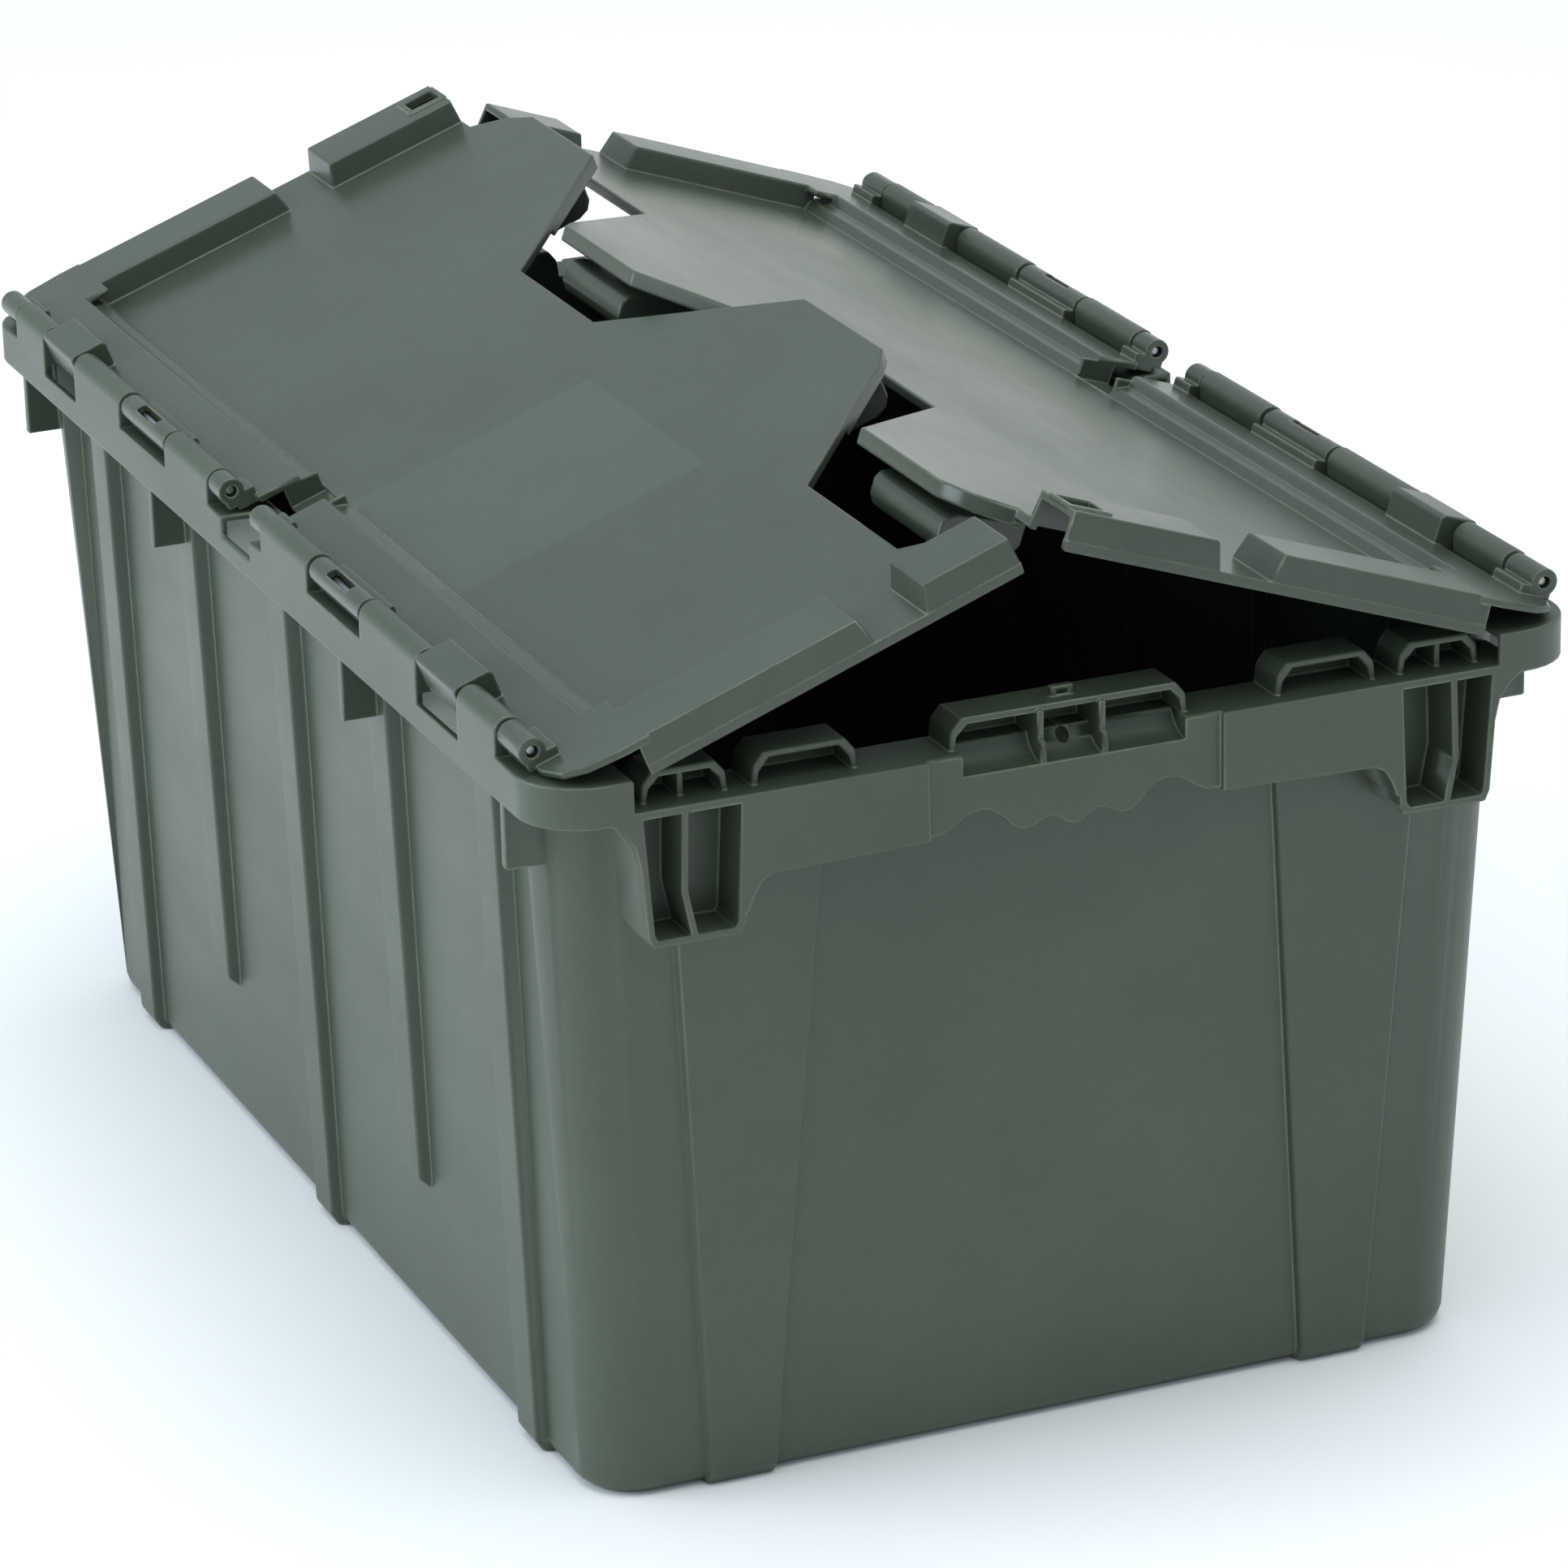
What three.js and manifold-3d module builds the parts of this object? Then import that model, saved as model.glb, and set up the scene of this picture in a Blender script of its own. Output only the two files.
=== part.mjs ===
// Attached lid tote: a nestable open-top container with two hinged lid halves that interlock.
//
// Frame: millimetres, +X along the long side, +Y across it, +Z up. The origin is the middle of the
// underside. Both lid halves are one moulding used twice; the second is turned half a turn about Z.
// They are drawn shut in their own frame and raised by lidRaise degrees, which is the rest pose.

import * as THREE from 'three';
import { mergeVertices } from 'three/addons/utils/BufferGeometryUtils.js';
import Module from 'manifold-3d';

const wasm = await Module();
wasm.setup();

// ---------------------------------------------------------------------------------------------
// Driving dimensions
// ---------------------------------------------------------------------------------------------

// Rim: the outline of the whole tote seen from above.
const rimHalfLength = 344;
const rimHalfWidth = 215;
const rimCornerRadius = 26;
const rimBottom = 293;
const rimTop = 309.5;
const plateThickness = 2.5;

// Walls: they lean outward so that empty totes nest.
const baseHalfLength = 303;
const baseHalfWidth = 187;
const wallLeanLength = 16;
const wallLeanWidth = 13.5;
const wallHeight = 293;
const wallThickness = 3;
const baseCornerRadius = 24;
const cornerRadiusGrowth = 6;
const floorThickness = 4;
const baseFillet = 7;

// Long sides: ribs with slightly sunk panels between them.
const ribSpacing = 119.4;
const ribFootHalfWidth = 13;
const ribFaceHalfWidth = 10;
const ribFaceAtBase = 191.5;
const ribFaceAtTop = 199.5;
const panelAtBase = 186.8;
const panelAtTop = 193;
const panelHalfLength = 284;
const shortRibFoot = 62;

// Hinge band on top of each long side.
const hingeOffset = 209;
const hingeHeight = 319;
const knuckleRadius = 6;
const rodHoleRadius = 2.5;
const knuckleSpans = [[34, 89], [151, 213.5], [258.5, 298]];
const windowSpan = [213.5, 258.5];
const windowBottom = 303;
const notchHalfWidth = 17.5;
const notchBottom = 301;

// Ends: a deep front band with a finger grip, two stacking posts, and humps behind the ledge.
const endHalfWidth = 178;
const ledgeTop = 297;
const bandBottom = 264;
const gripHalfWidth = 60.5;
const gripFace = 341;
const humpBack = 316;
const humpFront = 336;
const humpTop = 309.4;
const scoopCentre = [341, 302];
const scoopRadius = 14;
const scoopHalfWidth = 46;
// How far out the gussets in the scoop reach and how high: tall behind, low beside the shut lid.
const gussetSteps = [[gripFace - 0.6, 296.6], [338, 308]];
const postBottom = 242.5;

// Lid halves, in their own frame: x along the hinge, u away from it, v up, hinge line at u = v = 0.
const lidHalfLength = 343;
const lidRaise = { front: 20, back: 19.2 };
const borderTop = -6;
const borderUnder = -9;
const panelTop = -17;
const panelUnder = -20;
const skirtUnder = -21.5;
const toothReach = 239;
const valleyReach = 173;
const longToothReach = 242;
const deepValleyReach = 168;
const blockInner = 311;

// Steel hinge rods.
const rodRadius = 2;
const rodSpan = [21, 320];

// ---------------------------------------------------------------------------------------------
// Making and joining solids
// ---------------------------------------------------------------------------------------------

function toManifold(geometry) {
  const plain = geometry.clone();
  plain.deleteAttribute('normal');
  plain.deleteAttribute('uv');
  const merged = mergeVertices(plain, 1e-4);
  return new wasm.Manifold(new wasm.Mesh({
    numProp: 3,
    vertProperties: new Float32Array(merged.attributes.position.array),
    triVerts: new Uint32Array(merged.index.array),
  }));
}

function toGeometry(manifold) {
  const mesh = manifold.getMesh();
  const geometry = new THREE.BufferGeometry();
  geometry.setAttribute('position', new THREE.BufferAttribute(new Float32Array(mesh.vertProperties), 3));
  geometry.setIndex(new THREE.BufferAttribute(new Uint32Array(mesh.triVerts), 1));
  geometry.computeVertexNormals();
  return geometry;
}

function joined(solids) {
  return solids.reduce((sum, solid) => sum.add(solid));
}

function cut(solid, tools) {
  return tools.reduce((left, tool) => left.subtract(tool), solid);
}

// The two sides of the tote: along Y for the long sides, along X for the ends.
const sides = [1, -1];

// A prism along Z from an outline of [x, y] points.
function prismZ(outline, from, to) {
  const shape = new THREE.Shape(outline.map(([x, y]) => new THREE.Vector2(x, y)));
  const geometry = new THREE.ExtrudeGeometry(shape, { depth: to - from, bevelEnabled: false });
  geometry.translate(0, 0, from);
  return toManifold(geometry);
}

// A prism along X from an outline of [y, z] points.
function prismX(outline, from, to) {
  const shape = new THREE.Shape(outline.map(([y, z]) => new THREE.Vector2(y, z)));
  const geometry = new THREE.ExtrudeGeometry(shape, { depth: to - from, bevelEnabled: false });
  const turn = new THREE.Matrix4().set(0, 0, 1, from, 1, 0, 0, 0, 0, 1, 0, 0, 0, 0, 0, 1);
  geometry.applyMatrix4(turn);
  return toManifold(geometry);
}

// A box between two corners, whichever way round they are given.
function box([x0, x1], [y0, y1], [z0, z1]) {
  const geometry = new THREE.BoxGeometry(Math.abs(x1 - x0), Math.abs(y1 - y0), Math.abs(z1 - z0));
  geometry.translate((x0 + x1) / 2, (y0 + y1) / 2, (z0 + z1) / 2);
  return toManifold(geometry);
}

// A round bar along X.
function bar(y, z, radius, [x0, x1], sides = 20) {
  const geometry = new THREE.CylinderGeometry(radius, radius, Math.abs(x1 - x0), sides);
  geometry.rotateZ(Math.PI / 2);
  geometry.translate((x0 + x1) / 2, y, z);
  return toManifold(geometry);
}

// A round bar along Y.
function crossBar(x, z, radius, [y0, y1], sides = 48) {
  const geometry = new THREE.CylinderGeometry(radius, radius, y1 - y0, sides);
  geometry.translate(x, (y0 + y1) / 2, z);
  return toManifold(geometry);
}

// A solid through a stack of level rings, lowest first, all with the same number of points.
function loft(rings) {
  const count = rings[0].outline.length;
  const positions = rings.flatMap(({ outline, z }) => outline.flatMap(([x, y]) => [x, y, z]));
  const index = [];
  for (let ring = 0; ring < rings.length - 1; ring += 1) {
    for (let k = 0; k < count; k += 1) {
      const a = ring * count + k;
      const b = ring * count + ((k + 1) % count);
      index.push(a, b, b + count, a, b + count, a + count);
    }
  }
  const cap = (ring) => THREE.ShapeUtils.triangulateShape(
    ring.outline.map(([x, y]) => new THREE.Vector2(x, y)),
    [],
  );
  const top = (rings.length - 1) * count;
  cap(rings[0]).forEach(([a, b, c]) => index.push(a, c, b));
  cap(rings[rings.length - 1]).forEach(([a, b, c]) => index.push(top + a, top + b, top + c));
  const geometry = new THREE.BufferGeometry();
  geometry.setAttribute('position', new THREE.Float32BufferAttribute(positions, 3));
  geometry.setIndex(index);
  return toManifold(geometry);
}

// A rectangle with rounded corners, counter-clockwise, as [x, y] points.
function roundedRectangle(halfX, halfY, radius, steps = 8) {
  const points = [];
  [[1, 1], [-1, 1], [-1, -1], [1, -1]].forEach(([signX, signY], corner) => {
    for (let k = 0; k <= steps; k += 1) {
      const angle = (corner + k / steps) * (Math.PI / 2);
      points.push([
        signX * (halfX - radius) + radius * Math.cos(angle),
        signY * (halfY - radius) + radius * Math.sin(angle),
      ]);
    }
  });
  return points;
}

// Outline points in counter-clockwise order, for a shape that may have been mirrored.
function counterClockwise(points) {
  const area = points.reduce((sum, [x, y], k) => {
    const [nextX, nextY] = points[(k + 1) % points.length];
    return sum + x * nextY - nextX * y;
  }, 0);
  return area > 0 ? points : [...points].reverse();
}

// ---------------------------------------------------------------------------------------------
// Tote body
// ---------------------------------------------------------------------------------------------

// One level ring of the leaning wall. inset moves the ring inward.
function wallRing(z, inset) {
  const rise = z / wallHeight;
  return {
    z,
    outline: roundedRectangle(
      baseHalfLength + wallLeanLength * rise - inset,
      baseHalfWidth + wallLeanWidth * rise - inset,
      baseCornerRadius + cornerRadiusGrowth * rise - inset,
    ),
  };
}

// The leaning tub, with a rounded edge round its bottom.
function tub(inset, bottom, top, fillet) {
  const rings = [0, 30, 60, 90].map((degrees) => {
    const angle = THREE.MathUtils.degToRad(degrees);
    return wallRing(bottom + fillet * (1 - Math.cos(angle)), inset + fillet * (1 - Math.sin(angle)));
  });
  return loft([...rings, wallRing(top, inset)]);
}

// What is sunk from a long side between its two corners. shrink moves the face inward.
function sidePanelRecess(side, shrink) {
  const ring = (z) => {
    const face = panelAtBase + (panelAtTop - panelAtBase) * (z / wallHeight) - shrink;
    const half = panelHalfLength + shrink;
    return {
      z,
      outline: counterClockwise([
        [-half, side * face], [half, side * face],
        [half + 7, side * (face + 40)], [-half - 7, side * (face + 40)],
      ]),
    };
  };
  return loft([ring(-1), ring(rimTop + 2)]);
}

// One upright rib of a long side. shrink makes the hollow behind it.
function rib(x, side, foot, shrink) {
  const short = foot > 0;
  const ring = (z, sink) => {
    const face = ribFaceAtBase + (ribFaceAtTop - ribFaceAtBase) * (z / wallHeight) - sink - shrink;
    return {
      z,
      outline: counterClockwise([
        [x - ribFootHalfWidth + shrink, side * (face - 12)],
        [x - ribFaceHalfWidth + shrink, side * face],
        [x + ribFaceHalfWidth - shrink, side * face],
        [x + ribFootHalfWidth - shrink, side * (face - 12)],
      ]),
    };
  };
  return loft([ring(foot, short ? 7 : 3), ring(foot + (short ? 7 : 5), 0), ring(rimTop - 1, 0)]);
}

function ribs(side, shrink, floor) {
  return [-2, -1, 0, 1, 2].map((k) => rib(
    k * ribSpacing,
    side,
    k % 2 === 0 ? floor : shortRibFoot + shrink,
    shrink,
  ));
}

// A raised band on an end wall below one stacking post: wide at the top, narrow at the floor.
function endBand(end, side, shrink, floor) {
  const ring = (z, sink) => {
    const rise = z / wallHeight;
    const face = baseHalfLength + wallLeanLength * rise + 3.5 - sink - shrink;
    const inner = 111 - 22 * rise + shrink;
    const outer = 144 + 16.5 * rise - shrink;
    return {
      z,
      outline: counterClockwise([
        [end * (face - 10), side * inner],
        [end * face, side * (inner + 3)],
        [end * face, side * (outer - 3)],
        [end * (face - 10), side * outer],
      ]),
    };
  };
  return loft([ring(floor, 3), ring(floor + 5, 0), ring(ledgeTop - 1, 0)]);
}

// The lower edge of the finger grip: two wide arches outside, three small waves between them.
function gripOutline(top) {
  const wave = [
    [60.5, 265.5], [55, 266.2], [50, 268.5], [46, 271.5], [42, 273.3], [38, 273.6], [34, 272.6],
    [30, 269.5], [26.5, 265.5], [23, 263.4], [19.5, 263], [16, 264.3], [12.5, 266.2],
    [9.5, 266.6], [6.5, 265.2], [3.5, 262.8], [0, 262],
  ];
  const lower = [...wave, ...wave.slice(0, -1).reverse().map(([y, z]) => [-y, z])];
  return [...lower, [-60.5, top], [60.5, top]];
}

// A hump standing on the ledge: a hollow box open at the front, with eased upper corners.
function hump(end, from, to) {
  const ease = 5;
  const shape = (shrink, low, high) => [
    [from + shrink, low], [from + shrink + 1, high - ease], [from + shrink + ease, high],
    [to - shrink - ease, high], [to - shrink - 1, high - ease], [to - shrink, low],
  ];
  const solid = prismX(shape(0, ledgeTop - 2, humpTop), ...ordered(end * humpBack, end * humpFront));
  const hollow = prismX(
    shape(2.5, ledgeTop, humpTop - 2.5),
    ...ordered(end * (humpBack + 2.5), end * (humpFront + 1)),
  );
  return solid.subtract(hollow);
}

function ordered(a, b) {
  return a < b ? [a, b] : [b, a];
}

// One stacking post: a framed box below the ledge with two pockets open to the front.
function post(end, side) {
  const outline = [
    [133, ledgeTop], [135.5, 247], [137.5, postBottom], [172.5, postBottom], [174.5, 247],
    [176.6, 275], [178.4, 283], [182.5, 289.5], [188, 293.5], [188, ledgeTop],
  ];
  const frame = prismX(
    outline.map(([y, z]) => [side * y, z]),
    ...ordered(end * 315, end * rimHalfLength),
  );
  const pockets = [
    [[136.2, 294], [138.8, 248], [140, 245.5], [154.5, 245.5], [158, 263], [157, 294]],
    [[160, 294], [161, 263], [157.5, 245.5], [170.5, 245.5], [171.6, 248], [174.8, 294]],
  ].map((pocket) => prismX(
    pocket.map(([y, z]) => [side * y, z]),
    ...ordered(end * 324, end * (rimHalfLength + 1)),
  ));
  return cut(frame, pockets);
}

// The front band of one end, hollow from below so that fingers reach behind the grip.
function frontBand(end) {
  const solids = [];
  sides.forEach((side) => {
    const outline = [
      [gripHalfWidth, ledgeTop], [gripHalfWidth, bandBottom + 1.5], [124, bandBottom], [129, 262],
      [132, 257], [134, 251], [136, 251], [136, ledgeTop],
    ].map(([y, z]) => [side * y, z]);
    solids.push(prismX(outline, ...ordered(end * 315, end * rimHalfLength)));
    solids.push(post(end, side));
  });
  solids.push(prismX(gripOutline(ledgeTop), ...ordered(end * 315, end * gripFace)));
  const hollows = sides.map((side) => box(
    ordered(end * 300, end * (rimHalfLength - 3)),
    ordered(side * (gripHalfWidth + 3), side * 130),
    [250, ledgeTop - plateThickness],
  ));
  const behindGrip = box(
    ordered(end * 300, end * (gripFace - 3)),
    [-gripHalfWidth + 2, gripHalfWidth - 2],
    [250, ledgeTop - plateThickness],
  );
  hollows.push(behindGrip.subtract(scoop(end, plateThickness)));
  return cut(joined(solids), hollows);
}

// The rounded hollow in front of the handle hump. wall makes the larger one that lines it.
function scoop(end, wall) {
  const [x, z] = scoopCentre;
  const half = scoopHalfWidth + wall;
  const round = crossBar(end * x, z, scoopRadius + wall, [-half, half]);
  return round.subtract(box([-400, 400], [-100, 100], [ledgeTop + 1, 400]));
}

// The knuckle of one hinge: a round top over the hinge line, standing on the rim.
function knuckleProfile(side, radius) {
  const points = [[hingeOffset - radius, rimTop - 1], [hingeOffset - radius, hingeHeight]];
  for (let degrees = 165; degrees >= 0; degrees -= 15) {
    const angle = THREE.MathUtils.degToRad(degrees);
    points.push([
      hingeOffset + radius * Math.cos(angle),
      hingeHeight + radius * Math.sin(angle),
    ]);
  }
  points.push([hingeOffset + radius, rimTop - 1]);
  return points.map(([y, z]) => [side * y, z]);
}

// A web under the rim that stiffens it.
function rimWeb(x, side) {
  return box([x - 1.8, x + 1.8], ordered(side * 190, side * 213), [265.5, rimBottom + 8]);
}

function makeBody() {
  // The wall with its sunk panels, ribs and end bands, solid for now.
  const outside = tub(0, 0, rimTop - 1, baseFillet);
  let wall = cut(outside, sides.map((side) => sidePanelRecess(side, 0)));
  wall = joined([wall, ...sides.flatMap((side) => ribs(side, 0, 0))]);
  const endBands = (shrink, floor) => sides.flatMap(
    (end) => sides.map((side) => endBand(end, side, shrink, floor)),
  );
  wall = joined([wall, ...endBands(0, 0)]);

  // The rim is a shelf with a turned-down skirt, so it is hollow from below.
  const rim = prismZ(roundedRectangle(rimHalfLength, rimHalfWidth, rimCornerRadius), rimBottom, rimTop);
  const channel = prismZ(
    roundedRectangle(rimHalfLength - 3, rimHalfWidth - 3, rimCornerRadius - 3),
    rimBottom - 1,
    rimTop - plateThickness,
  );
  const webs = sides.flatMap((side) => [-298, -ribSpacing, ribSpacing, 298].map((x) => rimWeb(x, side)));
  let body = joined([rim.subtract(channel), wall, ...webs]);

  // The ends step down to a ledge, and the front band hangs from it.
  body = cut(body, sides.map((end) => box(
    ordered(end * 290, end * (rimHalfLength + 1)),
    [-endHalfWidth, endHalfWidth],
    [ledgeTop, rimTop + 1],
  )));
  body = cut(body, sides.map((end) => box(
    ordered(end * (humpFront - 4), end * (rimHalfLength + 1)),
    [-endHalfWidth, endHalfWidth],
    [rimBottom - 1, ledgeTop + 1],
  )));
  const humps = sides.flatMap((end) => [
    hump(end, -49.5, 49.5),
    ...sides.flatMap((side) => [
      hump(end, ...ordered(side * 86, side * 129)),
      hump(end, ...ordered(side * 138, side * 173)),
      box(ordered(end * humpBack, end * (humpFront - 2)), ordered(side * 155, side * 157.5), [296, 308]),
    ]),
    box(ordered(end * 327, end * 330), [-5, 5], [humpTop - 1, humpTop + 4]),
  ]);
  body = joined([body, ...sides.map((end) => frontBand(end)), ...humps]);
  body = cut(body, sides.map((end) => scoop(end, 0)));
  const gussets = sides.flatMap((end) => sides.flatMap((side) => gussetSteps.map(([reach, top]) => box(
    ordered(end * (humpBack + 1), end * reach),
    ordered(side * 11.5, side * 14),
    [286.5, top],
  ))));
  body = joined([body, ...gussets]);

  // The hinge band: knuckles with windows, slots and a notch in the middle between them.
  const knuckles = sides.flatMap((side) => sides.flatMap((end) => knuckleSpans.map(([from, to]) => prismX(
    knuckleProfile(side, knuckleRadius),
    ...ordered(end * from, end * to),
  ))));
  body = joined([body, ...knuckles]);
  const openings = sides.flatMap((side) => [
    box([-notchHalfWidth, notchHalfWidth], ordered(side * 202, side * 216), [notchBottom, rimTop + 1]),
    bar(side * hingeOffset, hingeHeight, rodHoleRadius, [-300, 300]),
    ...sides.map((end) => box(
      ordered(end * windowSpan[0], end * windowSpan[1]),
      ordered(side * 203, side * 216),
      [windowBottom, rimTop + 1],
    )),
  ]);
  body = cut(body, openings);

  // The inside, with the ribs and end bands showing as shallow grooves.
  const inside = tub(wallThickness, floorThickness, rimTop + 2, 4);
  let cavity = cut(inside, sides.map((side) => sidePanelRecess(side, wallThickness)));
  cavity = joined([
    cavity,
    ...sides.flatMap((side) => ribs(side, wallThickness, floorThickness)),
    ...endBands(wallThickness, floorThickness),
  ]);
  const tieHoles = sides.map((end) => bar(0, 294, 2.8, ordered(end * 300, end * 336)));
  const loopHoles = sides.map((end) => box(
    ordered(end * 325, end * 332),
    [-2.5, 2.5],
    [humpTop + 0.8, humpTop + 2.6],
  ));
  return cut(body, [cavity, ...tieHoles, ...loopHoles]);
}

// ---------------------------------------------------------------------------------------------
// Lid half
// ---------------------------------------------------------------------------------------------

// The free edge of a lid half: two teeth and two valleys, the same on both halves.
const freeEdge = [
  [lidHalfLength, 193], [300, 193], [283, deepValleyReach], [196, deepValleyReach],
  [129, 232], [118, toothReach], [40, toothReach], [-40, valleyReach], [-126, valleyReach],
  [-203, longToothReach], [-276, longToothReach], [-290, 234], [-300, 219], [-lidHalfLength, 219],
];

function edgeOutline(shift, hingeSide) {
  return [
    [-lidHalfLength, hingeSide], [lidHalfLength, hingeSide],
    ...freeEdge.map(([x, u]) => [x, u - shift]),
  ];
}

// The border beside the hinge: a flat top that steps down twice to the sunk panel.
const borderProfile = [
  [8.5, borderTop], [27, borderTop], [29.5, -11], [34, -12.5], [36.5, panelTop], [36.5, panelUnder],
  [33, panelUnder], [31.5, -15.5], [27, -14], [24.8, borderUnder], [8.5, borderUnder],
];

// A raised block on the end of a lid half, from u0 to u1, with leaning faces.
function endBlock(end, u0, u1, lean0, lean1, shrink, low) {
  const ring = (v, rise) => {
    const inner = blockInner - 1.5 + 1.5 * rise + shrink;
    const outer = lidHalfLength - 1.5 * rise - shrink;
    return {
      z: v,
      outline: counterClockwise([
        [end * inner, u0 + lean0 * rise], [end * outer, u0 + lean0 * rise],
        [end * outer, u1 - lean1 * rise], [end * inner, u1 - lean1 * rise],
      ]),
    };
  };
  return loft([ring(low, 0), ring(shrink > 0 ? borderUnder : borderTop, 1)]);
}

// A lid knuckle round the rod, with an arm under it that runs back to the border.
function lidKnuckle([from, to]) {
  return joined([
    bar(0, 0, 5.5, [from, to]),
    box([from, to], [0, 9.5], [borderUnder, -2]),
    box([from, to], [-4, 4], [-7, -2]),
  ]);
}

// The hook under a tooth: a stem hanging from the panel that carries a hollow rounded nose.
function hook(x) {
  const outer = [
    [200, panelUnder + 1], [200, -36], [205, -43], [211, -45.5], [228, -45.5], [233, -43.5],
    [235.5, -39.5], [235.5, -33], [233.5, -30], [229.5, -28.5], [212, -27.5], [212, panelUnder + 1],
  ];
  const inner = [
    [202.5, -24], [202.5, -36], [206.5, -41], [211.5, -43], [227.5, -43], [231, -41.8],
    [233, -39], [233, -34], [231.5, -32], [229, -31], [209.5, -29.8], [209.5, -24],
  ];
  const shell = prismX(outer, x - 32, x + 32).subtract(prismX(inner, x - 29.5, x + 29.5));
  const drain = box([x - 20, x + 20], [213, 223], [-47, -42]);
  return shell.subtract(drain);
}

function makeLid() {
  // Sunk panel with a turned-down lip along the free edge.
  const panel = prismZ(edgeOutline(0, 33), panelUnder, panelTop);
  const lip = prismZ(edgeOutline(0, 150), -24, panelUnder + 1).subtract(
    prismZ(edgeOutline(3.6, 140), -25, panelUnder + 2),
  );
  const trimmedLip = cut(lip, [
    box([-350, 350], [100, 200], [-30, -21.5]),
    ...sides.map((end) => box(ordered(end * 300, end * 350), [100, 260], [-30, skirtUnder])),
  ]);
  const border = prismX(borderProfile, -blockInner - 1, blockInner + 1);
  const corners = sides.map((end) => prismZ(
    counterClockwise([
      [300, -1], [326, -1], [337, 3.5], [342, 12], [lidHalfLength, 20], [lidHalfLength, 38], [300, 38],
    ].map(([x, u]) => [end * x, u])),
    borderUnder,
    borderTop,
  ));
  const skirts = sides.map((end) => box(
    ordered(end * (lidHalfLength - 3), end * lidHalfLength),
    [33, end > 0 ? 193 : 219],
    [skirtUnder, panelUnder + 1],
  ));
  const blocks = sides.flatMap((end) => [
    endBlock(end, 33, 131, 0, 4, 0, panelUnder),
    endBlock(end, 151, end > 0 ? 193 : 219, 4, 1, 0, panelUnder),
  ]);
  const hollows = sides.flatMap((end) => [
    endBlock(end, 5, 128, 0, 4, 2.6, skirtUnder - 1),
    endBlock(end, 154, 230, 4, 0, 2.6, skirtUnder - 1),
  ]);
  let lid = joined([panel, trimmedLip, border, ...corners, ...skirts, ...blocks]);
  lid = cut(lid, hollows);

  // Hinge side: knuckles, raised blocks over the windows, and a notch in the middle.
  const hinge = sides.flatMap((end) => [
    lidKnuckle(ordered(end * 19, end * 32.5)),
    lidKnuckle(ordered(end * 92, end * 148)),
    lidKnuckle(ordered(end * 300, end * 322)),
    prismX(
      [[-5, -7.5], [-3.5, borderUnder], [12, borderUnder], [12, 4.5], [10.5, 6], [-3.5, 6], [-5, 4.5]],
      ...ordered(end * 215.5, end * 256.5),
    ),
  ]);
  const notchTray = [
    box([-18, 18], [19.5, 38.2], [-19.4, -17.6]),
    ...sides.map((side) => box(ordered(side * 16, side * 18), [19.5, 35.3], [-19.4, -8.4])),
  ];
  lid = joined([lid, ...hinge, ...notchTray, ...[-244.5, 81.5].map((x) => hook(x))]);
  const openings = [
    bar(0, 0, rodHoleRadius, [-330, 330]),
    box([-16, 16], [-10, 36.2], [-17.6, 1]),
    ...sides.map((end) => box(ordered(end * 108, end * 132), [-2.5, 2.5], [1, 8])),
    box([-333, -321], [202, 216], [-12, 0]),
  ];
  lid = cut(lid, openings);
  // The raised rim of the tie slot.
  const slotRim = box([-335.5, -318.5], [199.5, 218.5], [borderTop - 1, borderTop + 0.8])
    .subtract(box([-333, -321], [202, 216], [-12, 0]));
  return lid.add(slotRim);
}

// ---------------------------------------------------------------------------------------------
// Assembly
// ---------------------------------------------------------------------------------------------

const bodyPlastic = { color: 0x56625d, roughness: 0.42, metalness: 0 };
const lidPlastic = { color: 0x5b6764, roughness: 0.38, metalness: 0 };
const rodSteel = { color: 0x8d9193, roughness: 0.35, metalness: 1 };

function namedMesh(name, solid, look) {
  const mesh = new THREE.Mesh(toGeometry(solid), new THREE.MeshStandardMaterial(look));
  mesh.name = name;
  return mesh;
}

const tote = new THREE.Group();
tote.name = 'attached_lid_tote';
tote.add(namedMesh('tote_body', makeBody(), bodyPlastic));

const lidSolid = makeLid();
[['front', -1], ['back', 1]].forEach(([name, side]) => {
  const hinge = new THREE.Group();
  hinge.name = `hinge_line_${name}`;
  hinge.position.set(0, side * hingeOffset, hingeHeight);
  hinge.rotation.z = side > 0 ? Math.PI : 0;
  const lid = namedMesh(`lid_${name}`, lidSolid, lidPlastic);
  lid.rotation.x = THREE.MathUtils.degToRad(lidRaise[name]);
  hinge.add(lid);
  tote.add(hinge);
  [['left', -1], ['right', 1]].forEach(([where, end]) => {
    const rod = bar(0, 0, rodRadius, ordered(end * rodSpan[0], end * rodSpan[1]), 16);
    const mesh = namedMesh(`rod_${name}_${where}`, rod, rodSteel);
    mesh.position.set(0, side * hingeOffset, hingeHeight);
    tote.add(mesh);
  });
});

export default tote;
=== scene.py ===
# %% [markdown]
# # An attached lid tote, finished in Blender
#
# This tote is a ribbed plastic box that nests when it is empty. Two lid halves hang on steel rods
# along its long sides, and their teeth interlock when both are shut. Here they rest on each
# other's teeth, a little open, as they do when somebody lets them drop.
#
# The CAD model already holds every solid at its real size. Our job is the look: rounded edges,
# moulded grain, a satin sheen, and the light that shows them. We load the model first. Nothing we
# add may grow the tote.

import math

import bmesh
import bpy
from mathutils import Matrix, Vector
from mathutils.geometry import intersect_point_line


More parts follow.
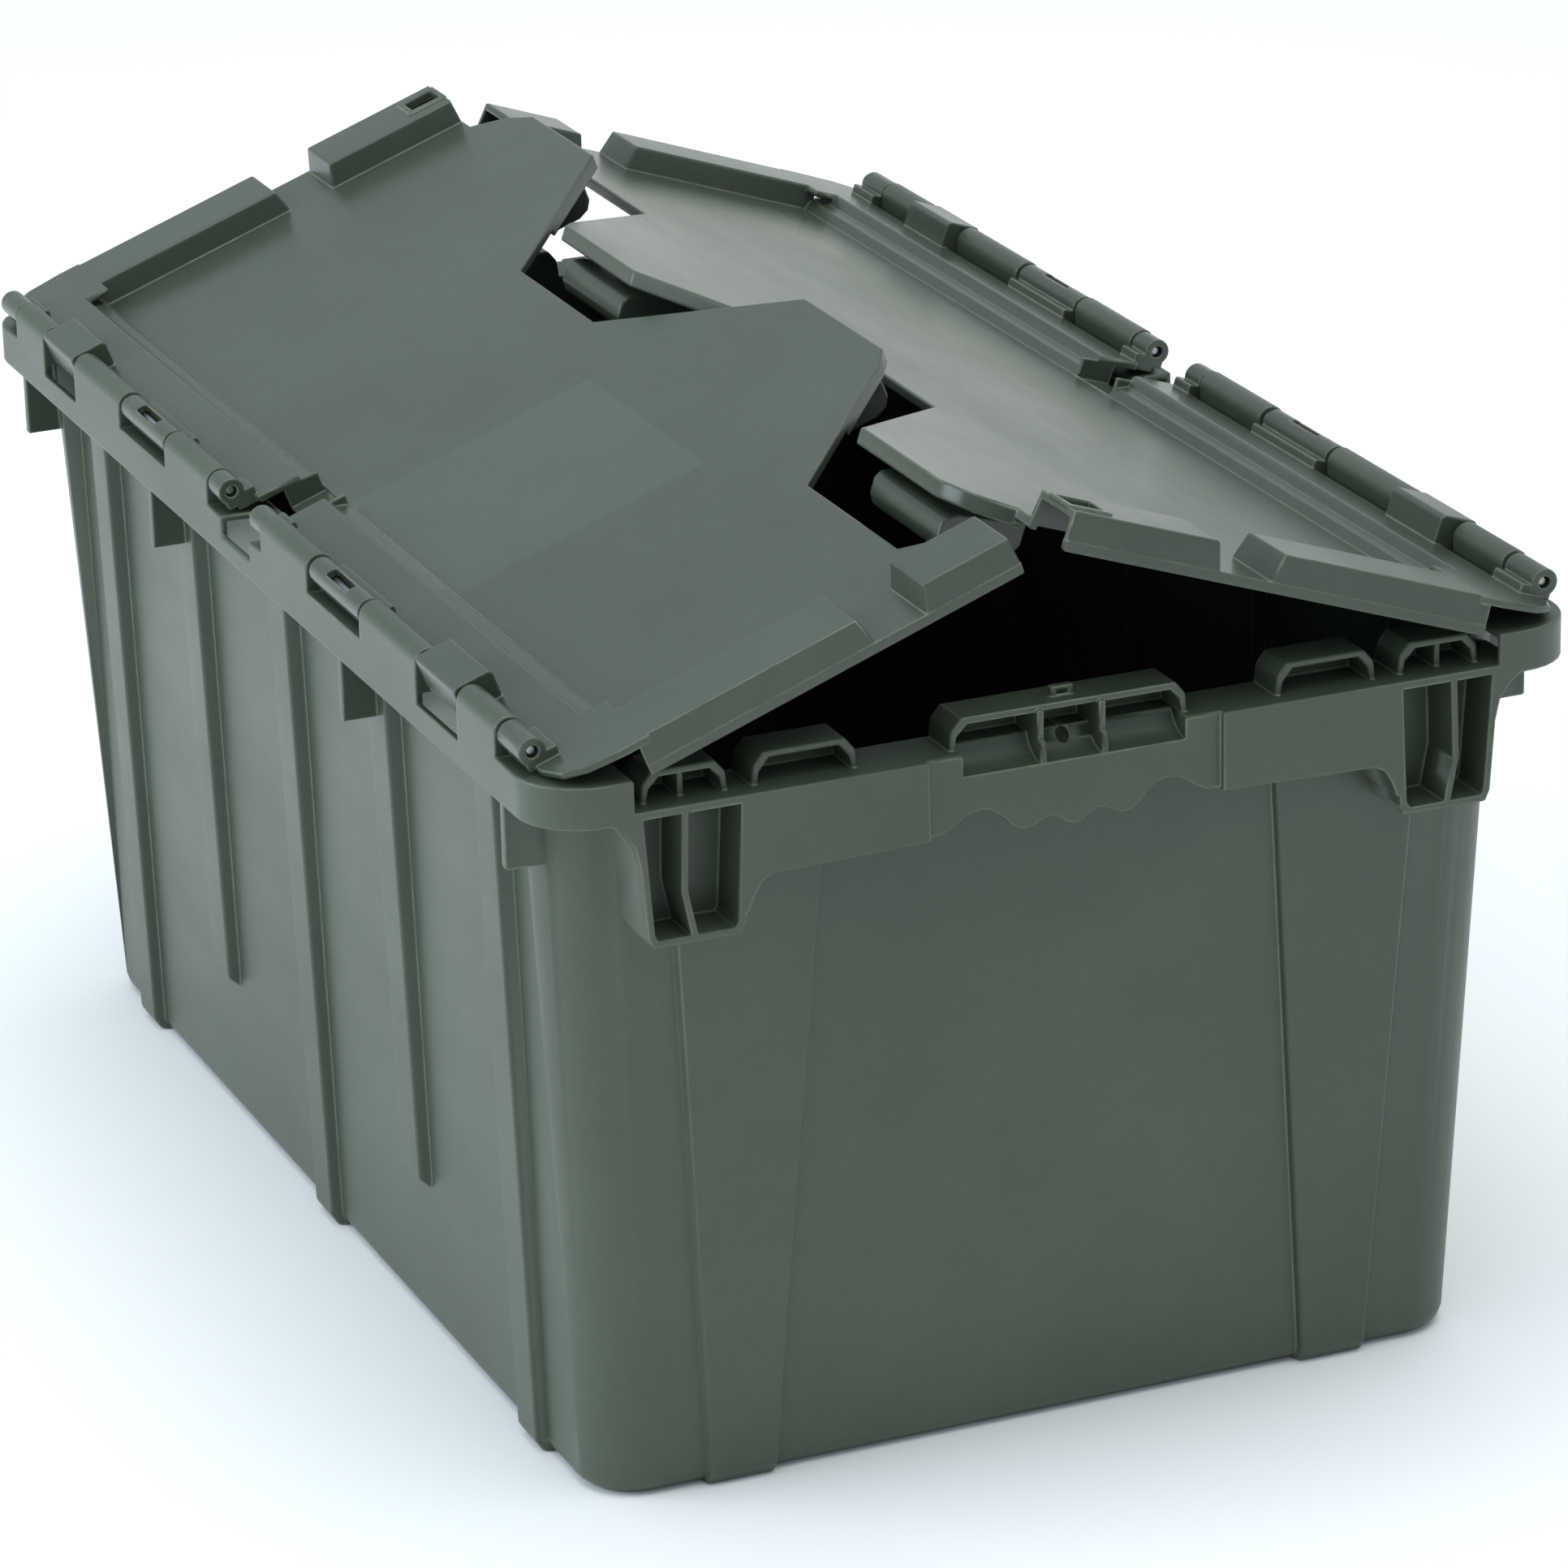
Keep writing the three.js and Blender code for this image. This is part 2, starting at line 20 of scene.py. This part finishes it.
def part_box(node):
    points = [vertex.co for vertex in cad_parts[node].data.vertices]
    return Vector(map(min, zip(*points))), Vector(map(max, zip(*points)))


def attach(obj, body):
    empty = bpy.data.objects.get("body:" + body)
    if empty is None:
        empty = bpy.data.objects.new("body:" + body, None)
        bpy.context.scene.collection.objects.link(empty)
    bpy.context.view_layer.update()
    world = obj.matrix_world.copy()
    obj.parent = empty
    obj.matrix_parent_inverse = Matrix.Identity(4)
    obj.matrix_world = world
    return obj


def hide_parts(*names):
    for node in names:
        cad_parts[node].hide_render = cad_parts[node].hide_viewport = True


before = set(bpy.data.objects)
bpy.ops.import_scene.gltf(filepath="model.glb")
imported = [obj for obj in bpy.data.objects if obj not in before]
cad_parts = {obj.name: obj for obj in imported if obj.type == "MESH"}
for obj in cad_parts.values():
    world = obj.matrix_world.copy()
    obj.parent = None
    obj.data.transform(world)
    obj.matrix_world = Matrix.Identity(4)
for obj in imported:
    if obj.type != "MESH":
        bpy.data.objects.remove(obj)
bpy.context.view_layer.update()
MM = 0.001
print("nodes:", sorted(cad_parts))

# %% [markdown]
# ## The camera
#
# A long lens from about three metres keeps the box's edges nearly parallel, the way a catalogue
# picture does. We give the camera an azimuth, an elevation and a small roll, and build its matrix
# from three axes: right, up and back. Typing Euler angles would work too, but with axes we can
# read straight from the code which way the camera looks.

# %% Place the camera
SENSOR_WIDTH = 36.0
LENS = 157.86
VIEW_AZIMUTH = math.radians(68.08)
VIEW_ELEVATION = math.radians(20.65)
VIEW_ROLL = math.radians(-1.65)
CAMERA_PLACE = Vector((2.5257, -1.0231, 1.1849))
CAMERA_SHIFT = (0.0415, 0.0075)
FARTHEST_SEEN = 60.0

back = Vector((
    math.sin(VIEW_AZIMUTH) * math.cos(VIEW_ELEVATION),
    -math.cos(VIEW_AZIMUTH) * math.cos(VIEW_ELEVATION),
    math.sin(VIEW_ELEVATION),
))
level_right = Vector((math.cos(VIEW_AZIMUTH), math.sin(VIEW_AZIMUTH), 0.0))
level_up = back.cross(level_right)
right = math.cos(VIEW_ROLL) * level_right + math.sin(VIEW_ROLL) * level_up
up = math.cos(VIEW_ROLL) * level_up - math.sin(VIEW_ROLL) * level_right

camera_data = bpy.data.cameras.new("tote_camera")
camera = bpy.data.objects.new("tote_camera", camera_data)
bpy.context.scene.collection.objects.link(camera)
camera.matrix_world = Matrix.Translation(CAMERA_PLACE) @ Matrix((right, up, back)).transposed().to_4x4()
camera_data.sensor_width = SENSOR_WIDTH
camera_data.lens = LENS
camera_data.shift_x, camera_data.shift_y = CAMERA_SHIFT
camera_data.clip_end = FARTHEST_SEEN
bpy.context.scene.camera = camera
bpy.context.scene.view_settings.view_transform = "Standard"
print("camera distance:", round(CAMERA_PLACE.length, 3), "m")

# %% [markdown]
# ## Floor and light
#
# A catalogue picture is shot on a white sweep under large soft lamps. The floor is one wide sheet
# of pale paper. The sky is a plain gradient: a dim grey-blue from the horizon up, so that the lids
# keep their dark colour, and brighter straight overhead. Two big soft boxes add direction, a cool
# one on the long side and a neutral one from above. A small dim card beyond the far end, which the
# camera doesn't see, shows as a soft highlight in the satin back lid half.

# %% Helpers for node trees
def fresh_tree(owner):
    """Turn nodes on for a material or world, and empty the tree."""
    owner.use_nodes = True
    owner.node_tree.nodes.clear()
    return owner.node_tree


def add_node(tree, kind, **settings):
    """Add one node and set its properties and unlinked inputs by name."""
    node = tree.nodes.new(kind)
    for name, value in settings.items():
        if name in node.inputs:
            node.inputs[name].default_value = value
        else:
            setattr(node, name, value)
    return node


def link(tree, start, output, end, entry):
    """Join one node's output to another's input."""
    tree.links.new(start.outputs[output], end.inputs[entry])


def ramp(tree, stops):
    """A colour ramp with the given (position, colour) stops."""
    node = tree.nodes.new("ShaderNodeValToRGB")
    elements = node.color_ramp.elements
    for position, _ in stops[len(elements):]:
        elements.new(position)
    for element, (position, colour) in zip(elements, stops):
        element.position = position
        element.color = (*colour, 1.0)
    return node


# %% White floor
FLOOR_SIZE = 24.0
FLOOR_HEIGHT = -0.5 * MM
PAPER_ROUGHNESS = 0.9
FLOOR_COLOUR = (0.96, 0.965, 0.97, 1.0)

bpy.ops.object.select_all(action="DESELECT")
bpy.ops.mesh.primitive_plane_add(size=FLOOR_SIZE, location=(0.0, 0.0, FLOOR_HEIGHT))
floor = bpy.context.active_object
floor.name = "paper_floor"
floor_paint = bpy.data.materials.new("white_paper")
paper = fresh_tree(floor_paint)
paper_shader = add_node(paper, "ShaderNodeBsdfPrincipled", Roughness=PAPER_ROUGHNESS)
paper_shader.inputs["Base Color"].default_value = FLOOR_COLOUR
paper_out = add_node(paper, "ShaderNodeOutputMaterial")
link(paper, paper_shader, "BSDF", paper_out, "Surface")
floor.data.materials.append(floor_paint)
print("floor:", FLOOR_SIZE, "m wide")

# %% Sky gradient
SKY_STOPS = [
    (0.00, (0.95, 0.97, 1.00)),
    (0.50, (0.98, 1.00, 0.95)),
    (0.525, (0.48, 0.53, 0.50)),
    (0.62, (0.50, 0.57, 0.62)),
    (0.80, (0.50, 0.57, 0.63)),
    (1.00, (0.90, 0.95, 1.00)),
]
SKY_STRENGTH = 1.12

world = bpy.data.worlds.new("studio_sky")
bpy.context.scene.world = world
sky = fresh_tree(world)
sky_place = add_node(sky, "ShaderNodeTexCoord")
sky_height = add_node(sky, "ShaderNodeSeparateXYZ")
sky_half = add_node(sky, "ShaderNodeMapRange", **{"From Min": -1.0, "From Max": 1.0})
sky_ramp = ramp(sky, SKY_STOPS)
sky_light = add_node(sky, "ShaderNodeBackground", Strength=SKY_STRENGTH)
sky_out = add_node(sky, "ShaderNodeOutputWorld")
link(sky, sky_place, "Generated", sky_height, "Vector")
link(sky, sky_height, "Z", sky_half, "Value")
link(sky, sky_half, "Result", sky_ramp, "Fac")
link(sky, sky_ramp, "Color", sky_light, "Color")
link(sky, sky_light, "Background", sky_out, "Surface")
print("sky stops:", len(SKY_STOPS))

# %% Soft boxes
def soft_box(name, place, aim, size, power, colour):
    """One rectangular area lamp at place, turned to shine at aim."""
    lamp_data = bpy.data.lights.new(name, "AREA")
    lamp_data.shape = "RECTANGLE"
    lamp_data.size, lamp_data.size_y = size
    lamp_data.energy = power
    lamp_data.color = colour
    lamp = bpy.data.objects.new(name, lamp_data)
    bpy.context.scene.collection.objects.link(lamp)
    lamp.matrix_world = (
        Matrix.Translation(Vector(place))
        @ (Vector(aim) - Vector(place)).to_track_quat("-Z", "Y").to_matrix().to_4x4()
    )
    return lamp


COOL = (0.80, 0.92, 1.0)
NEUTRAL = (1.0, 1.0, 0.98)
WARM = (1.0, 1.0, 0.90)

soft_box("long_side_box", place=(-0.6, -3.2, 1.4), aim=(0.0, -0.2, 0.15),
         size=(2.6, 1.8), power=66.0, colour=COOL)
soft_box("overhead_box", place=(0.4, 0.2, 3.4), aim=(0.0, 0.0, 0.2),
         size=(3.0, 3.0), power=52.0, colour=NEUTRAL)
card = soft_box("horizon_card", place=(-1.8, 0.95, 0.58), aim=(-0.1, 0.05, 0.36),
                size=(0.7, 0.45), power=0.40, colour=WARM)
card.visible_camera = False

# %% [markdown]
# ## Moulded plastic
#
# The body and the lids are injection-moulded polyethylene. Three things tell the eye so. The
# surface has a fine leathery grain from the etched mould. The sheen is satin and slightly uneven,
# because the melt cools at different speeds. And every edge is rounded by a fraction of a
# millimetre, so it catches a thin line of light, and its colour is painted paler: partly scuffs
# from use, partly a painted highlight.
#
# One function makes both finishes. Its patterns read Object coordinates, in metres, so a scale of
# 900 gives grains about a millimetre across. A Bevel node bends the shading normal near edges, and
# comparing it with the plain normal gives a mask of where the edges are. The mask is broken up by
# a noise, because use scuffs an edge here and there, and what is scuffed is also rubbed smoother.
# Where the mask is on, the colour turns pale: partly real scuffing, partly a painted highlight.

# %% Plastic finish
CLOUD_SCALE = 5.0
MOTTLE_SCALE = 160.0
MOTTLE_SHARE = 0.25
SCUFF_SCALE = 70.0
GRAIN_SCALE = 900.0
GRAIN_DEPTH = 0.3 * MM
FLOW_SCALES = (3.0, 11.0, 11.0)
SHEEN_BELOW = 0.06
SHEEN_ABOVE = 0.08
EDGE_STARTS = 0.990
EDGE_FULL = 0.80
EDGE_POLISH = 0.12
# Where a Mix node keeps its factor, its two colours and its result.
MIX_FACTOR, MIX_FIRST, MIX_SECOND, COLOUR_RESULT = 0, 6, 7, 2


def moulded_plastic(name, dark, light, worn_and_highlit, roughness, grain, edge_radius):
    """Satin plastic with grain, cloudy colour, uneven sheen, and edges painted paler as scuffs and as a
    painted highlight.
    """
    paint = bpy.data.materials.new(name)
    tree = fresh_tree(paint)
    place = add_node(tree, "ShaderNodeTexCoord")

    clouds = add_node(tree, "ShaderNodeTexNoise", Scale=CLOUD_SCALE, Detail=4.0, Roughness=0.6)
    mottle = add_node(tree, "ShaderNodeTexNoise", Scale=MOTTLE_SCALE, Detail=3.0, Roughness=0.7)
    blend_noise = add_node(tree, "ShaderNodeMath", operation="MULTIPLY_ADD")
    blend_noise.inputs[1].default_value = MOTTLE_SHARE
    colour = ramp(tree, [(0.40, dark), (0.85, light)])
    link(tree, place, "Object", clouds, "Vector")
    link(tree, place, "Object", mottle, "Vector")
    link(tree, mottle, "Fac", blend_noise, 0)
    link(tree, clouds, "Fac", blend_noise, 2)
    link(tree, blend_noise, "Value", colour, "Fac")

    round_edge = add_node(tree, "ShaderNodeBevel", samples=6, Radius=edge_radius)
    plain = add_node(tree, "ShaderNodeNewGeometry")
    agree = add_node(tree, "ShaderNodeVectorMath", operation="DOT_PRODUCT")
    edge = add_node(tree, "ShaderNodeMapRange", **{
        "From Min": EDGE_STARTS, "From Max": EDGE_FULL, "To Min": 0.0, "To Max": 1.0,
    })
    scuff = add_node(tree, "ShaderNodeTexNoise", Scale=SCUFF_SCALE, Detail=6.0, Roughness=0.75)
    scuff_cut = ramp(tree, [(0.22, (0.15, 0.15, 0.15)), (0.60, (1.0, 1.0, 1.0))])
    # The edge mask paints the edges pale: partly scuffs, partly a painted highlight.
    wear_and_highlight_mask = add_node(tree, "ShaderNodeMath", operation="MULTIPLY")
    wear_and_highlight_mix = add_node(tree, "ShaderNodeMix", data_type="RGBA")
    wear_and_highlight_mix.inputs[MIX_SECOND].default_value = (*worn_and_highlit, 1.0)
    link(tree, round_edge, "Normal", agree, 0)
    link(tree, plain, "Normal", agree, 1)
    link(tree, agree, "Value", edge, "Value")
    link(tree, place, "Object", scuff, "Vector")
    link(tree, scuff, "Fac", scuff_cut, "Fac")
    link(tree, edge, "Result", wear_and_highlight_mask, 0)
    link(tree, scuff_cut, "Color", wear_and_highlight_mask, 1)
    link(tree, wear_and_highlight_mask, "Value", wear_and_highlight_mix, MIX_FACTOR)
    link(tree, colour, "Color", wear_and_highlight_mix, MIX_FIRST)

    flow_stretch = add_node(tree, "ShaderNodeMapping", Scale=FLOW_SCALES)
    flow = add_node(tree, "ShaderNodeTexNoise", Scale=1.0, Detail=5.0, Roughness=0.65)
    sheen_range = add_node(tree, "ShaderNodeMapRange", **{
        "From Min": 0.25, "From Max": 0.75,
        "To Min": roughness - SHEEN_BELOW, "To Max": roughness + SHEEN_ABOVE,
    })
    link(tree, place, "Object", flow_stretch, "Vector")
    link(tree, flow_stretch, "Vector", flow, "Vector")
    link(tree, flow, "Fac", sheen_range, "Value")
    rubbed = add_node(tree, "ShaderNodeMath", operation="MULTIPLY_ADD")
    rubbed.inputs[1].default_value = -EDGE_POLISH
    link(tree, wear_and_highlight_mask, "Value", rubbed, 0)
    link(tree, sheen_range, "Result", rubbed, 2)

    etched = add_node(tree, "ShaderNodeTexNoise", Scale=GRAIN_SCALE, Detail=3.0, Roughness=0.6)
    bumps = add_node(tree, "ShaderNodeBump", Strength=grain, Distance=GRAIN_DEPTH)
    link(tree, place, "Object", etched, "Vector")
    link(tree, etched, "Fac", bumps, "Height")
    link(tree, round_edge, "Normal", bumps, "Normal")

    shader = add_node(tree, "ShaderNodeBsdfPrincipled", IOR=1.5)
    out = add_node(tree, "ShaderNodeOutputMaterial")
    link(tree, wear_and_highlight_mix, COLOUR_RESULT, shader, "Base Color")
    link(tree, rubbed, "Value", shader, "Roughness")
    link(tree, bumps, "Normal", shader, "Normal")
    link(tree, shader, "BSDF", out, "Surface")
    return paint


BODY_DARK = (0.039, 0.054, 0.035)
BODY_LIGHT = (0.060, 0.080, 0.053)
LID_DARK = (0.037, 0.050, 0.034)
LID_LIGHT = (0.056, 0.072, 0.051)
# Edge colour: partly scuffed plastic, partly a painted highlight along the edges.
PALE_EDGE_WEAR_AND_HIGHLIGHT = (0.230, 0.270, 0.180)

body_plastic = moulded_plastic("body_plastic", BODY_DARK, BODY_LIGHT, PALE_EDGE_WEAR_AND_HIGHLIGHT,
                               roughness=0.38, grain=0.22, edge_radius=1.6 * MM)
lid_plastic = moulded_plastic("lid_plastic", LID_DARK, LID_LIGHT, PALE_EDGE_WEAR_AND_HIGHLIGHT,
                              roughness=0.27, grain=0.10, edge_radius=1.4 * MM)
print("finishes:", body_plastic.name, lid_plastic.name)

# %% [markdown]
# One rectangle of the front lid half is a little paler and shinier than the rest, as where a label
# has been. We lay it into the lid's paint. Two Compare nodes tell whether a point's X and Y are
# inside the rectangle, and their product drives the colour and the roughness. Only the front half
# has points there, so the back half stays plain.

# %% A paler rectangle on the front lid half
PATCH_LOW = (0.010, -0.178)
PATCH_HIGH = (0.135, -0.063)
PATCH_VALUE = 1.16
PATCH_POLISH = 0.03


def lay_patch(paint, low, high):
    """Make a rectangle of a paint paler and shinier. Its corners are X and Y in metres."""
    tree = paint.node_tree
    shader = tree.nodes["Principled BSDF"]
    colour = shader.inputs["Base Color"].links[0].from_socket
    rough = shader.inputs["Roughness"].links[0].from_socket
    place = add_node(tree, "ShaderNodeTexCoord")
    axes = add_node(tree, "ShaderNodeSeparateXYZ")
    inside = add_node(tree, "ShaderNodeMath", operation="MULTIPLY")
    link(tree, place, "Object", axes, "Vector")
    for entry, axis in enumerate("XY"):
        within = add_node(tree, "ShaderNodeMath", operation="COMPARE")
        within.inputs[1].default_value = (low[entry] + high[entry]) / 2
        within.inputs[2].default_value = (high[entry] - low[entry]) / 2
        link(tree, axes, axis, within, 0)
        link(tree, within, "Value", inside, entry)
    paler = add_node(tree, "ShaderNodeHueSaturation", Value=PATCH_VALUE)
    polish = add_node(tree, "ShaderNodeMath", operation="MULTIPLY_ADD")
    polish.inputs[1].default_value = -PATCH_POLISH
    link(tree, inside, "Value", paler, "Fac")
    link(tree, inside, "Value", polish, 0)
    tree.links.new(colour, paler.inputs["Color"])
    tree.links.new(rough, polish.inputs[2])
    link(tree, paler, "Color", shader, "Base Color")
    link(tree, polish, "Value", shader, "Roughness")


lay_patch(lid_plastic, PATCH_LOW, PATCH_HIGH)
print("paler rectangle:", PATCH_LOW, "to", PATCH_HIGH)

# %% [markdown]
# ## Bright steel
#
# The hinge rods are plain drawn wire. Drawing leaves fine lines along the rod, so the noise that
# drives the colour, the roughness and the bump is stretched along X: its scale is 6 along the rod
# against 2500 across it.

# %% Steel finish
LINE_SCALES = (6.0, 2500.0, 2500.0)
LINE_DEPTH = 0.1 * MM
LINE_SHADE = 0.8
SMOOTHER_BY = 0.08
ROUGHER_BY = 0.12


def drawn_steel(name, colour, roughness):
    """Wire steel with fine lines along X."""
    paint = bpy.data.materials.new(name)
    tree = fresh_tree(paint)
    place = add_node(tree, "ShaderNodeTexCoord")
    stretch = add_node(tree, "ShaderNodeMapping", Scale=LINE_SCALES)
    lines = add_node(tree, "ShaderNodeTexNoise", Scale=1.0, Detail=2.0)
    rough = add_node(tree, "ShaderNodeMapRange", **{
        "To Min": roughness - SMOOTHER_BY, "To Max": roughness + ROUGHER_BY,
    })
    tint = ramp(tree, [(0.3, tuple(LINE_SHADE * c for c in colour)), (0.7, colour)])
    bumps = add_node(tree, "ShaderNodeBump", Strength=0.15, Distance=LINE_DEPTH)
    shader = add_node(tree, "ShaderNodeBsdfPrincipled", Metallic=1.0)
    out = add_node(tree, "ShaderNodeOutputMaterial")
    link(tree, place, "Object", stretch, "Vector")
    link(tree, stretch, "Vector", lines, "Vector")
    link(tree, lines, "Fac", rough, "Value")
    link(tree, lines, "Fac", tint, "Fac")
    link(tree, lines, "Fac", bumps, "Height")
    link(tree, tint, "Color", shader, "Base Color")
    link(tree, rough, "Result", shader, "Roughness")
    link(tree, bumps, "Normal", shader, "Normal")
    link(tree, shader, "BSDF", out, "Surface")
    return paint


STEEL_COLOUR = (0.45, 0.46, 0.47)
rod_steel = drawn_steel("rod_steel", STEEL_COLOUR, roughness=0.34)
print("finish:", rod_steel.name)

# %% [markdown]
# ## The moulded skins: body and lids
#
# The CAD solids have the right shapes, but a CAD edge is perfectly sharp and a CAD curve is a row
# of flat strips. A real moulding has neither. So each big solid is copied, and the copy is
# finished by hand tools: its loose triangles are merged, flat faces are dissolved into one, the
# outer edges are bevelled, and faces that meet at a small angle are shaded as one smooth surface.
#
# A bevel needs room on both sides. Where two edges lie closer together than the bevel is wide, the
# new faces would cross, so an edge is chosen only if nothing else in its two faces comes near it.
# A chosen edge must not run on, nearly straight, into one that is not chosen either: the end of
# the bevel would slide a long way along that one. The Bevel node of the plastic rounds the edges
# that are left. Big faces then get the most say in the normals, so they stay flat to the eye.
# Afterwards we count the triangles that came out folded; there should be none.

# %% Helpers for picking edges
MERGE_DISTANCE = 0.01 * MM
SLIVER_LENGTH = 0.02 * MM
FLAT_ANGLE = math.radians(0.3)
SHARP_ANGLE = math.radians(30.0)
ROOM_FACTOR = 2.2
SMOOTH_ANGLE = math.radians(32.0)
BIG_FACE_WEIGHT = 100
SMALLEST_SEEN = 0.5 * MM * MM


def only(piece):
    """Select one object and nothing else, and make it active."""
    bpy.ops.object.select_all(action="DESELECT")
    piece.select_set(True)
    bpy.context.view_layer.objects.active = piece


def gap(point, edge):
    """How far a point is from an edge."""
    start, end = (corner.co for corner in edge.verts)
    share = intersect_point_line(point, start, end)[1]
    return (point - start.lerp(end, min(1.0, max(0.0, share)))).length


def has_room(edge, room):
    """Whether a bevel fits on an edge: no other edge of its two faces comes too close."""
    if len(edge.link_faces) != 2 or edge.calc_face_angle_signed(0.0) < SHARP_ANGLE:
        return False
    neighbours = {other for corner in edge.verts for other in corner.link_edges}
    if min(other.calc_length() for other in neighbours) < room:
        return False
    for other in {far for face in edge.link_faces for far in face.edges} - neighbours:
        apart = [gap(corner.co, edge) for corner in other.verts]
        apart += [gap(corner.co, other) for corner in edge.verts]
        if min(apart) < room:
            return False
    return True


def runs_on(edge, chosen, room):
    """Whether an edge runs on, nearly straight, into one that is not chosen."""
    for corner in edge.verts:
        along = (edge.other_vert(corner).co - corner.co).normalized()
        for other in set(corner.link_edges) - chosen:
            beside = set(edge.link_faces) & set(other.link_faces)
            if beside and (other.other_vert(corner).co - corner.co).cross(along).length < room:
                return True
    return False


def select_edges_with_room(piece, room):
    """In edit mode, select the outer edges that a bevel fits on. Returns how many."""
    mesh = bmesh.from_edit_mesh(piece.data)
    chosen = {edge for edge in mesh.edges if has_room(edge, room)}
    spoiled = chosen
    while spoiled:
        spoiled = {edge for edge in chosen if runs_on(edge, chosen, room)}
        chosen = chosen - spoiled
    bpy.ops.mesh.select_all(action="DESELECT")
    for edge in chosen:
        edge.select = True
    mesh.select_flush_mode()
    bmesh.update_edit_mesh(piece.data)
    return len(chosen)


def folded_faces(mesh):
    """Count the triangles that face against the polygon they belong to."""
    mesh.calc_loop_triangles()
    folded = 0
    for triangle in mesh.loop_triangles:
        facing = triangle.normal.dot(mesh.polygons[triangle.polygon_index].normal)
        folded += triangle.area > SMALLEST_SEEN and facing < 0.0
    return folded


# %% Round the edges of a copied solid
def moulded_skin(node_name, name, radii, paint):
    """Copy a CAD solid, clean it, and bevel its edges once for each radius, widest first."""
    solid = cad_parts[node_name]
    skin = bpy.data.objects.new(name, solid.data.copy())
    bpy.context.scene.collection.objects.link(skin)
    only(skin)
    bpy.ops.object.mode_set(mode="EDIT")
    bpy.ops.mesh.select_mode(type="EDGE")
    bpy.ops.mesh.select_all(action="SELECT")
    bpy.ops.mesh.remove_doubles(threshold=MERGE_DISTANCE)
    bpy.ops.mesh.dissolve_degenerate(threshold=SLIVER_LENGTH)
    bpy.ops.mesh.dissolve_limited(angle_limit=FLAT_ANGLE)
    rounded = []
    for radius in radii:
        rounded.append(select_edges_with_room(skin, ROOM_FACTOR * radius))
        bpy.ops.mesh.bevel(offset=radius, segments=2, affect="EDGES", clamp_overlap=False)
    bpy.ops.object.mode_set(mode="OBJECT")
    bpy.ops.object.shade_smooth_by_angle(angle=SMOOTH_ANGLE)
    weigh = skin.modifiers.new("even_shading", "WEIGHTED_NORMAL")
    weigh.keep_sharp = True
    weigh.weight = BIG_FACE_WEIGHT
    bpy.ops.object.modifier_apply(modifier=weigh.name)
    skin.data.materials.clear()
    skin.data.materials.append(paint)
    for face in skin.data.polygons:
        face.material_index = 0
    print(name, "edges rounded:", rounded, "faces:", len(skin.data.polygons),
          "folded:", folded_faces(skin.data))
    return skin


# %% Make the three skins
EDGE_RADII = (1.0 * MM, 0.5 * MM)

body_shell = moulded_skin("tote_body", "body_shell", EDGE_RADII, body_plastic)
front_half = moulded_skin("lid_front", "front_lid_half", EDGE_RADII, lid_plastic)
back_half = moulded_skin("lid_back", "back_lid_half", EDGE_RADII, lid_plastic)

for piece, node_name, body_name, slot_name in (
    (body_shell, "tote_body", "body", "body_plastic"),
    (front_half, "lid_front", "front_lid", "lid_plastic"),
    (back_half, "lid_back", "back_lid", "lid_plastic"),
):
    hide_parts(node_name)
    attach(piece, body_name)
print("skins ride on their bodies")

# %% [markdown]
# ## The hinge rods
#
# A rod is cut from drawn wire and its ends are eased, so that it slides through the knuckles. A
# cylinder primitive has sharp ends, so we add one at a rod's real size, pick its two end rims in
# code and bevel them. One rod is made and copied to the other three places.

# %% Model one rod
ROD_SIDES = 32
ROD_EASE = 0.6 * MM


def rod_from_box(name, low, high):
    """A round rod along X that fills the box between two corners, with eased ends."""
    middle = (low + high) / 2
    radius = (high.z - low.z) / 2
    bpy.ops.object.select_all(action="DESELECT")
    bpy.ops.mesh.primitive_cylinder_add(
        vertices=ROD_SIDES, radius=radius, depth=high.x - low.x,
        location=middle, rotation=(0.0, math.pi / 2, 0.0),
    )
    rod = bpy.context.active_object
    rod.name = name
    bpy.ops.object.transform_apply(location=True, rotation=True, scale=True)
    bpy.ops.object.mode_set(mode="EDIT")
    bpy.ops.mesh.select_mode(type="EDGE")
    bpy.ops.mesh.select_all(action="DESELECT")
    mesh = bmesh.from_edit_mesh(rod.data)
    for edge in mesh.edges:
        if abs(edge.verts[0].co.x - edge.verts[1].co.x) < ROD_EASE:
            edge.select = True
    mesh.select_flush_mode()
    bmesh.update_edit_mesh(rod.data)
    bpy.ops.mesh.bevel(offset=ROD_EASE, segments=3, affect="EDGES")
    bpy.ops.object.mode_set(mode="OBJECT")
    bpy.ops.object.shade_smooth_by_angle(angle=SMOOTH_ANGLE)
    rod.data.materials.append(rod_steel)
    return rod


rod_names = sorted(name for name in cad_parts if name.startswith("rod_"))
first_low, first_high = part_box(rod_names[0])
first_rod = rod_from_box("wire_" + rod_names[0], first_low, first_high)
print("rod length:", round(first_high.x - first_low.x, 4), "m, faces:", len(first_rod.data.polygons))

# %% Copy the rod to each place
for rod_name in rod_names:
    low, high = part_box(rod_name)
    rod = first_rod
    if rod_name != rod_names[0]:
        rod = bpy.data.objects.new("wire_" + rod_name, first_rod.data.copy())
        bpy.context.scene.collection.objects.link(rod)
        rod.data.transform(Matrix.Translation((low + high) / 2 - (first_low + first_high) / 2))
    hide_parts(rod_name)
    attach(rod, "body")
print("rods:", rod_names)
